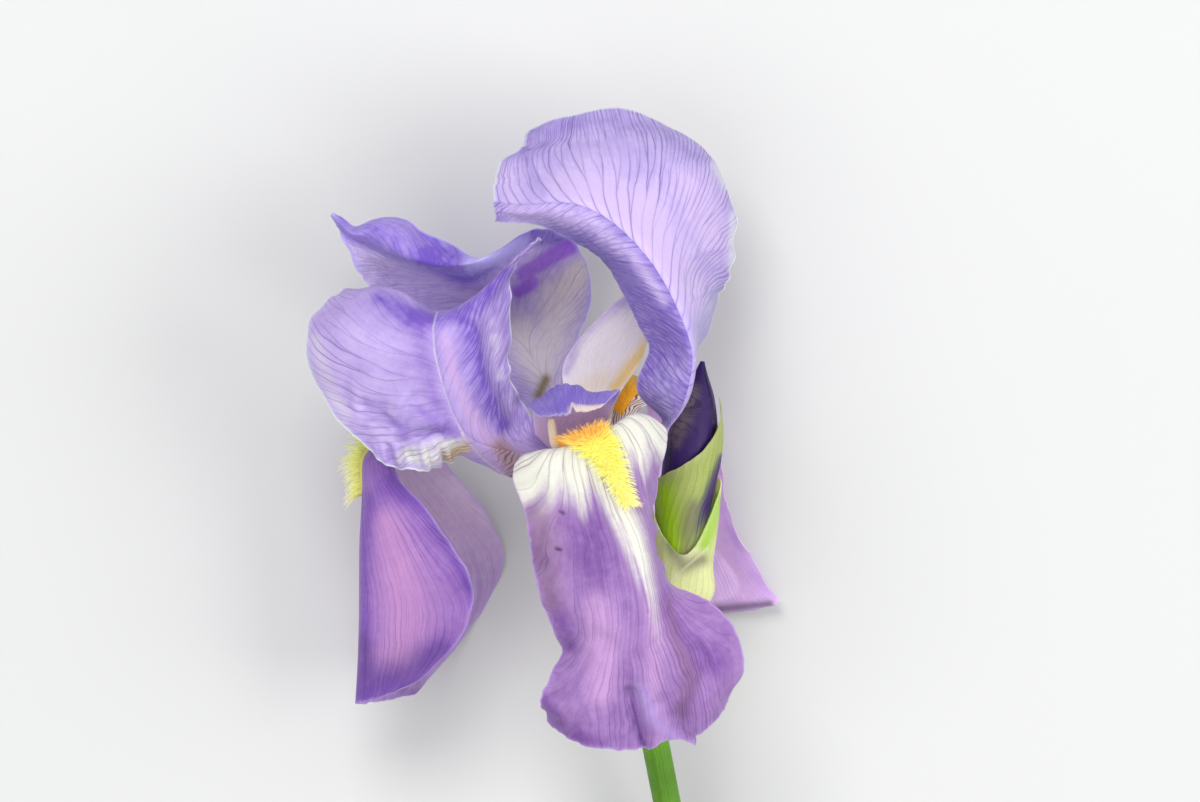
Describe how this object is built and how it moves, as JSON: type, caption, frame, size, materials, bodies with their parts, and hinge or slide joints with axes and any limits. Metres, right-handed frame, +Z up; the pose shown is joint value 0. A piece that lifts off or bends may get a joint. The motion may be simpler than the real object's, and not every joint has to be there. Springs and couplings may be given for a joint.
{
  "type": "iris flower",
  "caption": "Lilac and violet bearded iris flower picked with its stem, a closed bud beside it, lying on its back.",
  "frame": {"origin": "on the surface that the flower lies on, below the middle of its outline", "axes": "+Z up, the way the front of the flower faces; -Y towards the cut end of the stem; +X to the right as the front is seen"},
  "size_m": [0.1201, 0.2274, 0.0853],
  "materials": {
    "fall_petal": "matte",
    "standard_petal": "matte",
    "style_petal": "matte",
    "beard_hair": "matte",
    "stamen_cream": "matte",
    "bud_petal": "satin",
    "bract_green": "matte",
    "spathe_paper": "matte",
    "stem_green": "satin",
    "tube_green": "satin"
  },
  "bodies": {
    "root": {"fall_front": "fall_petal", "fall_left": "fall_petal", "fall_rear": "fall_petal", "standard_side": "standard_petal", "standard_left": "standard_petal", "standard_back": "standard_petal", "style": "style_petal", "beard_front": "beard_hair", "beard_left": "beard_hair", "beard_rear": "beard_hair", "stamen_front": "stamen_cream", "stamen_left": "stamen_cream", "stamen_rear": "stamen_cream", "perianth_tube": "tube_green", "bud": "bud_petal", "bract": "bract_green", "spathe": "spathe_paper", "stem": "stem_green"}
  },
  "joints": []
}
